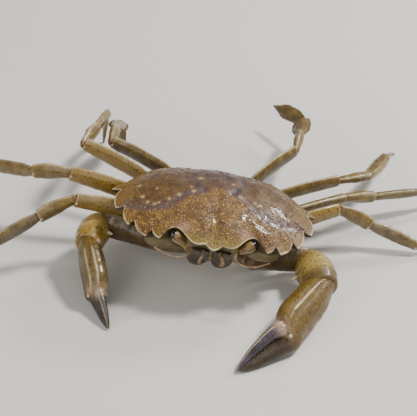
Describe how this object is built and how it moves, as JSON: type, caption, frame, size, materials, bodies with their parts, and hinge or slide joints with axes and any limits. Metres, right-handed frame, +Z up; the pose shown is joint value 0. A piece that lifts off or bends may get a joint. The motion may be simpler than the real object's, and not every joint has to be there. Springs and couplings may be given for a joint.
{
  "type": "shore crab model",
  "caption": "Life-size still model of a shore crab, standing with its legs spread, its claws lowered in front and a hind leg held up.",
  "frame": {"origin": "on the floor, below the middle of the whole crab's bounding box", "axes": "+Z up, the crab faces -Y, and +X is its own left side"},
  "size_m": [0.1692, 0.1236, 0.0301],
  "materials": {
    "carapace_shell": "wet olive-brown shell with fine grains",
    "under_shell": "pale yellow-green shell",
    "leg_shell": "speckled olive-yellow shell",
    "claw_shell": "speckled ochre shell",
    "finger_shell": "dark purple-grey horn with a pale ridge",
    "eye": "black wet cornea on an ochre stalk",
    "feeler": "straw-coloured horn"
  },
  "bodies": {
    "root": {"carapace": "carapace_shell", "underbody": "under_shell", "abdomen": "under_shell", "eye_left": "eye", "antenna_left": "feeler", "mouth_plate_left": "under_shell", "eye_right": "eye", "antenna_right": "feeler", "mouth_plate_right": "under_shell", "claw_left_base": "claw_shell", "claw_left_arm": "claw_shell", "claw_left_wrist": "claw_shell", "claw_left_hand": "claw_shell", "claw_left_finger": "finger_shell", "leg_left_2_base": "leg_shell", "leg_left_2_merus": "leg_shell", "leg_left_2_carpus": "leg_shell", "leg_left_2_propodus": "leg_shell", "leg_left_2_dactyl": "leg_shell", "leg_left_3_base": "leg_shell", "leg_left_3_merus": "leg_shell", "leg_left_3_carpus": "leg_shell", "leg_left_3_propodus": "leg_shell", "leg_left_3_dactyl": "leg_shell", "leg_left_4_base": "leg_shell", "leg_left_4_merus": "leg_shell", "leg_left_4_carpus": "leg_shell", "leg_left_4_propodus": "leg_shell", "leg_left_4_dactyl": "leg_shell", "leg_left_5_base": "leg_shell", "leg_left_5_merus": "leg_shell", "leg_left_5_carpus": "leg_shell", "leg_left_5_propodus": "leg_shell", "leg_left_5_dactyl": "leg_shell", "claw_right_base": "claw_shell", "claw_right_arm": "claw_shell", "claw_right_wrist": "claw_shell", "claw_right_hand": "claw_shell", "claw_right_finger": "finger_shell", "leg_right_2_base": "leg_shell", "leg_right_2_merus": "leg_shell", "leg_right_2_carpus": "leg_shell", "leg_right_2_propodus": "leg_shell", "leg_right_2_dactyl": "leg_shell", "leg_right_3_base": "leg_shell", "leg_right_3_merus": "leg_shell", "leg_right_3_carpus": "leg_shell", "leg_right_3_propodus": "leg_shell", "leg_right_3_dactyl": "leg_shell", "leg_right_4_base": "leg_shell", "leg_right_4_merus": "leg_shell", "leg_right_4_carpus": "leg_shell", "leg_right_4_propodus": "leg_shell", "leg_right_4_dactyl": "leg_shell", "leg_right_5_base": "leg_shell", "leg_right_5_merus": "leg_shell", "leg_right_5_carpus": "leg_shell", "leg_right_5_propodus": "leg_shell", "leg_right_5_dactyl": "leg_shell"}
  },
  "joints": []
}
